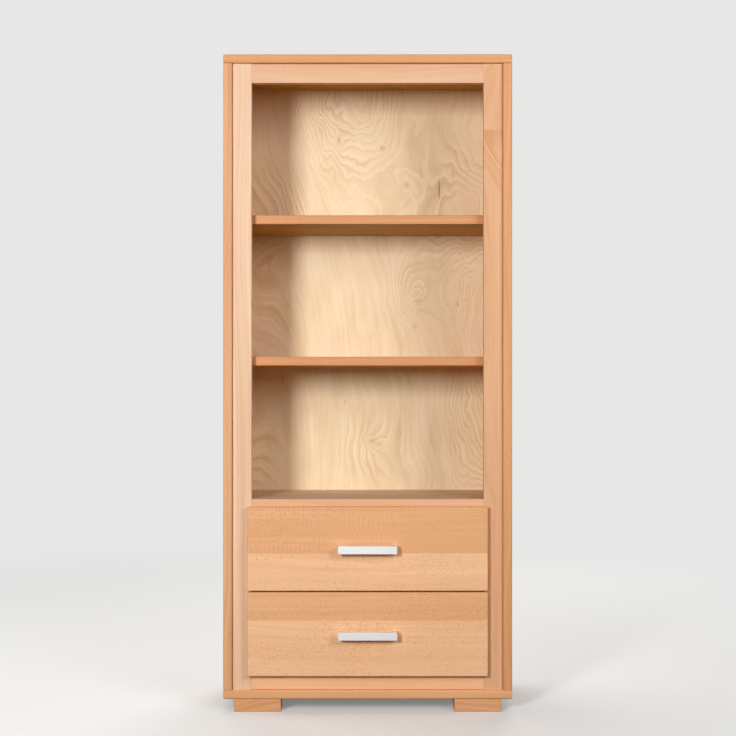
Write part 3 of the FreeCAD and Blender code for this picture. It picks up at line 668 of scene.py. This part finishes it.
def screw_tree():
    """Cross-head screws on the corners of a mesh, each turned by chance about its own axis."""
    group = bpy.data.node_groups.new("screws", "GeometryNodeTree")
    sockets = group.interface
    sockets.new_socket("Spots", in_out="INPUT", socket_type="NodeSocketGeometry")
    for name, value in PAN_HEAD.items():
        sockets.new_socket(name, in_out="INPUT", socket_type="NodeSocketFloat").default_value = value
    sockets.new_socket("Finish", in_out="INPUT", socket_type="NodeSocketMaterial")
    sockets.new_socket("Screws", in_out="OUTPUT", socket_type="NodeSocketGeometry")
    tree = Tree(group)
    entry = tree.node("NodeGroupInput")
    given = {output.name: Wire(tree, output) for output in entry.outputs if output.name}
    wide, tall = given["Head Diameter"], given["Head Height"]

    def moved(shape, height):
        """A shape, moved along the screw's axis."""
        return tree.add("GeometryNodeTransform", None,
                        {"Geometry": shape, "Translation": tree.vector(0.0, 0.0, height)})

    head = tree.add("GeometryNodeMeshCone", None,
                    {"Vertices": HEAD_SIDES, "Radius Top": wide * CROWN, "Radius Bottom": wide * 0.5,
                     "Depth": tall})
    arms = [moved(tree.add("GeometryNodeMeshCube", None,
                           {"Size": tree.vector(wide * along, wide * across, tall)}), tall * CROSS_HEIGHT)
            for along, across in (CROSS, CROSS[::-1])]
    head = tree.add("GeometryNodeMeshBoolean", {"operation": "DIFFERENCE", "solver": "EXACT"},
                    {"Mesh 1": head, "Mesh 2": arms})
    shank = tree.add("GeometryNodeMeshCylinder", None,
                     {"Vertices": SHANK_SIDES, "Radius": given["Shank Diameter"] * 0.5,
                      "Depth": given["Shank Length"]})
    shank = moved(shank, given["Shank Length"] * -0.5)
    screw = tree.add("GeometryNodeJoinGeometry", None, {"Geometry": [head, shank]})

    facing = tree.add("GeometryNodeInputNamedAttribute", {"data_type": "FLOAT_VECTOR"}, {"Name": "facing"})
    aim = tree.add("FunctionNodeAlignRotationToVector", {"axis": "Z"}, {"Vector": facing})
    chance = tree.add("FunctionNodeRandomValue", {"data_type": "FLOAT"}, {2: 0.0, 3: math.tau, "Seed": 5},
                      out=1)
    turn = tree.add("FunctionNodeAxisAngleToRotation", None, {"Axis": (0, 0, 1), "Angle": chance})
    aim = tree.add("FunctionNodeRotateRotation", {"rotation_space": "LOCAL"},
                   {"Rotation": aim, "Rotate By": turn})
    points = tree.add("GeometryNodeMeshToPoints", None, {"Mesh": given["Spots"]})
    placed = tree.add("GeometryNodeInstanceOnPoints", None,
                      {"Points": points, "Instance": screw, "Rotation": aim})
    whole = tree.add("GeometryNodeRealizeInstances", None, {"Geometry": placed})
    done = tree.add("GeometryNodeSetMaterial", None, {"Geometry": whole, "Material": given["Finish"]})
    tree.node("NodeGroupOutput", None, {"Screws": done})
    return group


def screws(name, spots, finish, kind):
    """One mesh of screws at a list of (seat of the head, way that the head faces)."""
    mesh = bpy.data.meshes.new(name)
    mesh.from_pydata([seat for seat, _ in spots], [], [])
    facing = mesh.attributes.new("facing", "FLOAT_VECTOR", "POINT")
    facing.data.foreach_set("vector", [part for _, way in spots for part in way])
    piece = bpy.data.objects.new(name, mesh)
    bpy.context.scene.collection.objects.link(piece)
    modifier = piece.modifiers.new("screws", "NODES")
    modifier.node_group = screw_maker
    values = {**kind, "Finish": finish}
    for item in screw_maker.interface.items_tree:
        if item.name in values:
            modifier[item.identifier] = values[item.name]
    return settle(piece)


def between(start, end, count):
    """Evenly spaced numbers from start to end, both included."""
    return [start + (end - start) * step / (count - 1) for step in range(count)]


def back_screw_spots():
    """Round the back's edge, in the middle of its rebate, and along the floor over the drawers."""
    low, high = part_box("back_panel")
    left, right, bottom, top = (low.x + BACK_MARGIN, high.x - BACK_MARGIN,
                                low.z + BACK_MARGIN, high.z - BACK_MARGIN)
    in_rows = between(left + BACK_FIRST[0], right - BACK_FIRST[0], BACK_COUNT[0])
    in_columns = between(bottom + BACK_FIRST[1], top - BACK_FIRST[1], BACK_COUNT[1])
    floor_low, floor_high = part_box("niche_floor")
    floor = (floor_low.z + floor_high.z) / 2
    spots = [(x, z) for x in (left, right) for z in in_columns]
    spots += [(x, z) for z in (bottom, top, floor) for x in in_rows]
    return [Vector((x, high.y, z)) for x, z in spots]


def rail_screws(node, side, sheet_from, way):
    """Screws along a runner's web: their seats are a sheet's thickness from its outer face."""
    low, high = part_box(node)
    seat = sheet_from + way * RUNNER_SHEET
    return [((side * seat, y, (low.z + high.z) / 2), (side * way, 0, 0))
            for y in between(low.y + RUNNER_FIRST[0], high.y - RUNNER_FIRST[1], RUNNER_COUNT)]


def fasten_case(zinc):
    """The screws of the back and the feet."""
    sunk = SINK_DEPTH / 2 + FLAT_HEAD["Head Height"]
    back = [((x, y - sunk, z), BACKWARD) for x, y, z in back_screw_spots()]
    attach(screws("back_screws", back, zinc, FLAT_HEAD), "case")
    low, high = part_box("foot_screws")
    inset = FOOT_HEAD["Head Diameter"] / 2
    seat = low.z + FOOT_HEAD["Head Height"]
    feet = [((x, y, seat), DOWNWARD)
            for x in (low.x + inset, high.x - inset) for y in (low.y + inset, high.y - inset)]
    kind = {**FOOT_HEAD, "Shank Length": high.z - seat}
    stand_for(screws("foot_screws_turned", feet, zinc, kind), "foot_screws")


def fasten_drawer(level, zinc):
    """The screws of a drawer's runners, its front and its handle, a mesh for each group on each body."""
    case, drawer = [], []
    for name, side in SIDES.items():
        case_rail, drawer_rail = f"{level}_case_rail_{name}", f"{level}_drawer_rail_{name}"
        outer = max(abs(corner.x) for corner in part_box(case_rail))
        inner = min(abs(corner.x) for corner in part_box(drawer_rail))
        case += rail_screws(case_rail, side, outer, -1)
        drawer += rail_screws(drawer_rail, side, inner, 1)
    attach(screws(f"{level}_case_rail_screws", case, zinc, FLAT_HEAD), "case")
    low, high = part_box(f"{level}_box_front")
    drawer += [((x, high.y, z), BACKWARD)
               for x in (low.x + FRONT_INSET[0], high.x - FRONT_INSET[0])
               for z in (low.z + FRONT_INSET[1], high.z - FRONT_INSET[1])]
    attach(screws(f"{level}_drawer_screws", drawer, zinc, FLAT_HEAD), f"{level}_drawer")
    node = f"{level}_handle_screws"
    low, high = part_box(node)
    inset = PAN_HEAD["Head Diameter"] / 2
    seat = high.y - PAN_HEAD["Head Height"]
    kind = {**PAN_HEAD, "Shank Length": seat - low.y}
    pair = [((x, seat, (low.z + high.z) / 2), BACKWARD) for x in (low.x + inset, high.x - inset)]
    stand_for(screws(f"{node}_turned", pair, zinc, kind), node)


# ---------------------------------------------------------------- finishes of this bookcase

# colour of each board's wood
ROSE = (0.835, 0.565, 0.38)
PEACH = (0.775, 0.45, 0.26)
HONEY = (0.905, 0.520, 0.286)
COPPER = (0.827, 0.432, 0.218)
TAWNY = (0.763, 0.43, 0.238)
CLAY = (0.78, 0.465, 0.285)
GINGER = (0.765, 0.41, 0.21)
AMBER = (0.745, 0.37, 0.17)
UMBER = (0.69, 0.475, 0.315)
RUSSET = (0.69, 0.315, 0.138)


def case_wood():
    """Beech for each board of the case and face frame, and for the drawer fronts."""
    # the top panel and the shelves get painted shade on the faces that look down
    wood = {
        "top_panel": beech("beech_top", X, Y, AMBER, (0.52, 0.6, 0.4), (-0.04, 0.08), painted_underside_shade=True,
                           seed=1.3),
        "base_panel": beech("beech_base", X, Y, COPPER, (0.5, 0.6, 0.45), (-0.03, 0.07), seed=2.9),
        "stile_left": beech("beech_stile_left", Z, X, ROSE, pith=(-0.16, -0.22), streak=0.5,
                            fleck=0.1, seed=5.7),
        "stile_right": beech("beech_stile_right", Z, X, TAWNY, pith=(0.36, 0.02), streak=0.75,
                             fleck=0.25, sway=0.03, joint=(1.612, 0.20), seed=8.2),
        "top_rail": beech("beech_top_rail", X, Z, CLAY, pith=(1.64, 0.3), streak=0.4, seed=3.3),
        "mid_rail": beech("beech_mid_rail", X, Z, PEACH, pith=(0.46, 0.3), streak=0.4, seed=6.4),
        "bottom_rail": beech("beech_bottom_rail", X, Z, HONEY, pith=(-0.04, 0.3), streak=0.4,
                             seed=9.9),
        "niche_floor": beech("beech_floor", X, Y, UMBER, (0.5, 0.42, 0.55), (-0.02, 0.09), seed=7.7),
        "shelf_upper": beech("beech_shelf_upper", X, Y, RUSSET, (0.5, 0.65, 0.45), (-0.03, 0.08),
                             painted_underside_shade=True, seed=10.3),
        "shelf_lower": beech("beech_shelf_lower", X, Y, RUSSET, (0.5, 0.6, 0.42), (-0.05, 0.06),
                             painted_underside_shade=True, seed=12.8),
        "upper_drawer_front": beech("beech_upper_front", X, Z, HONEY, (0.58, 0.06), (0.440,),
                                    pith=(0.25, 0.35), streak=0.42, fleck=1.0,
                                    ripple=(0.18, -0.05, 0.20), seed=20.5),
        "lower_drawer_front": beech("beech_lower_front", X, Z, HONEY, (0.56, 0.10), (0.255,),
                                    pith=(-0.1, 0.35), streak=0.4, fleck=1.0, seed=23.7),
    }
    for (name, side), colour in zip(SIDES.items(), (GINGER, AMBER)):
        wood[f"side_panel_{name}"] = beech(
            f"beech_side_{name}", Z, Y, colour, (0.45, 0.6, 0.36, 0.5), (-0.07, 0.02, 0.11),
            pith=(0.0, side * 0.5), streak=0.7, seed=4.1 * side)
    return wood


def dress():
    """Give every node its finish, and every wooden one its arris."""
    finishes = case_wood()
    foot = beech("beech_foot", X, Z, AMBER, pith=(-0.2, -0.1), streak=0.9, sway=0.14, seed=14.6)
    inner = beech("beech_inner", Y, Z, PEACH, pith=(0.4, 0.5), seed=16.1)
    cross = beech("beech_cross", X, Z, PEACH, pith=(0.3, 0.4), seed=18.4)
    drawer_ply = birch_ply("birch_bottom")
    for name in nodes:
        if name.startswith("foot_") and name != "foot_screws":
            finishes[name] = foot
        elif "box_side" in name or "packer" in name:
            finishes[name] = inner
        elif "box_front" in name or "box_back" in name:
            finishes[name] = cross
        elif "box_bottom" in name:
            finishes[name] = drawer_ply
    for node, finish in finishes.items():
        board(node, finish)
    board("back_panel", birch_ply("birch_back", BENDS, KNOTS, CRACK), back_screw_spots())

    zinc, glide, metal = zinc_plate("zinc_plate"), acetal("white_acetal"), satin_aluminium("satin_aluminium")
    for level in LEVELS:
        bow_handle(level, metal)
    for name, node in nodes.items():
        if "glide" in name:
            node.material_slots[0].material = glide
        elif "pins" in name or "rail_left" in name or "rail_right" in name:
            node.material_slots[0].material = zinc
    nodes["case_tenons"].material_slots[0].material = cross
    fasten_case(zinc)
    for level in LEVELS:
        fasten_drawer(level, zinc)


# ---------------------------------------------------------------- studio

FLOOR_LEVEL = -0.2 * MM              # just clear of the feet
FLOOR_RADIUS = 6.5
COVE_RADIUS = 2.0
COVE_TURNS = between(0, 90, 16)      # degrees
WALL_HEIGHT = 5.0
ROUND_STEPS = 64
PAPER = (0.93, 0.925, 0.915, 1)
PAPER_GLOW = (0.80, 0.80, 0.795, 1)
PAPER_BOUNCE = (0.12, 0.08, 0.04, 1)
GLOW_REACH = (0.3, 4.0)              # from the middle of the floor to where the paper glows fully
GLOW_LEAST = 0.25
ROOM_TINT = (1.0, 0.78, 0.50, 1)
WHITE = (1, 1, 1, 1)
SKY_STRENGTH = 0.04
ROOM_STRENGTH = 0.9
# each lamp: its place, what it points at, its width and height, and its power
LAMPS = {
    "key": ((-1.5, -3.55, 1.58), (0, 0, 0.9), (0.65, 0.95), 101),
    "side": ((2.2, -2.9, 2.05), (0, 0, 0.8), (1.6, 1.6), 60),
    "rear": ((1.2, 3.6, 2.4), (0, 0, 0.9), (2.0, 2.0), 80),
    "left": ((-3.2, 0.9, 1.9), (0, 0, 0.9), (1.5, 1.5), 36),
    "top": ((-0.6, 1.6, 3.6), (0, 0, 1.6), (1.6, 1.6), 42),
}


def paper():
    """Pale paper of the floor and backdrop, which throws little light back at the bookcase."""
    sheet = Finish("pale_paper")
    seen = sheet.direct_look()
    lit = sheet.add("ShaderNodeBsdfDiffuse", None, {"Color": sheet.mix(seen, PAPER_BOUNCE, PAPER)})
    glow = sheet.add("ShaderNodeEmission", None, {"Color": PAPER_GLOW, "Strength": 1.0})
    even = sheet.smooth(sheet.length(sheet.place), *GLOW_REACH, GLOW_LEAST, 1.0)
    shader = sheet.add("ShaderNodeMixShader", None, {0: seen * even, 1: lit, 2: glow})
    sheet.node("ShaderNodeOutputMaterial", None, {"Surface": shader})
    return sheet.material


def turned(name, profile, finish):
    """A surface of revolution about Z through a list of (radius, z)."""
    shape = bmesh.new()
    path = [shape.verts.new((radius, 0, z)) for radius, z in profile]
    edges = [shape.edges.new(pair) for pair in zip(path, path[1:])]
    bmesh.ops.spin(shape, geom=path + edges, cent=(0, 0, 0), axis=(0, 0, 1), angle=math.tau,
                   steps=ROUND_STEPS)
    bmesh.ops.remove_doubles(shape, verts=shape.verts, dist=0.1 * MM)
    piece = as_piece(name, shape, finish)
    shade_smooth(piece)
    return piece


def studio():
    """Round paper floor that turns up into a wall, well outside every camera's place."""
    finish = paper()
    floor = turned("floor", [(0, FLOOR_LEVEL), (FLOOR_RADIUS, FLOOR_LEVEL)], finish)
    arc = [(FLOOR_RADIUS + COVE_RADIUS * math.sin(turn), FLOOR_LEVEL + COVE_RADIUS * (1 - math.cos(turn)))
           for turn in map(math.radians, COVE_TURNS)]
    wall = turned("backdrop", arc + [(arc[-1][0], WALL_HEIGHT)], finish)
    wall.visible_diffuse = False
    wall.visible_shadow = False


def lamp(name, place, aim, size, power):
    """A rectangular soft lamp that points at its aim."""
    light = bpy.data.lights.new(name, "AREA")
    light.shape = "RECTANGLE"
    light.size, light.size_y = size
    light.energy = power
    holder = bpy.data.objects.new(name, light)
    holder.location = place
    holder.rotation_euler = (Vector(aim) - Vector(place)).to_track_quat("-Z", "Y").to_euler()
    holder.visible_camera = False
    bpy.context.scene.collection.objects.link(holder)


def sky():
    """Faint warm light from all round; the camera and glossy surfaces see a pale room."""
    world = bpy.data.worlds.new("room")
    bpy.context.scene.world = world
    world.use_nodes = True
    tree = Tree(world.node_tree)
    looks = tree.direct_look()
    glow = tree.add("ShaderNodeBackground", None,
                    {"Color": tree.mix(looks, ROOM_TINT, WHITE),
                     "Strength": SKY_STRENGTH + looks * (ROOM_STRENGTH - SKY_STRENGTH)})
    tree.node("ShaderNodeOutputWorld", None, {"Surface": glow})


def camera():
    """The camera, at its distance in front of the case's front edges."""
    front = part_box("side_panel_left")[0].y
    lens = bpy.data.cameras.new("camera")
    lens.lens, lens.sensor_width = LENS, SENSOR
    lens.shift_x, lens.shift_y = SHIFT
    lens.clip_end = FARTHEST
    holder = bpy.data.objects.new("camera", lens)
    holder.location = (0, front - CAMERA_DISTANCE, CAMERA_HEIGHT)
    holder.rotation_euler = (math.radians(90), 0, 0)
    bpy.context.scene.collection.objects.link(holder)
    bpy.context.scene.camera = holder


screw_maker = screw_tree()
dress()
studio()
for name, settings in LAMPS.items():
    lamp(name, *settings)
sky()
camera()
bpy.context.scene.view_settings.view_transform = "Standard"
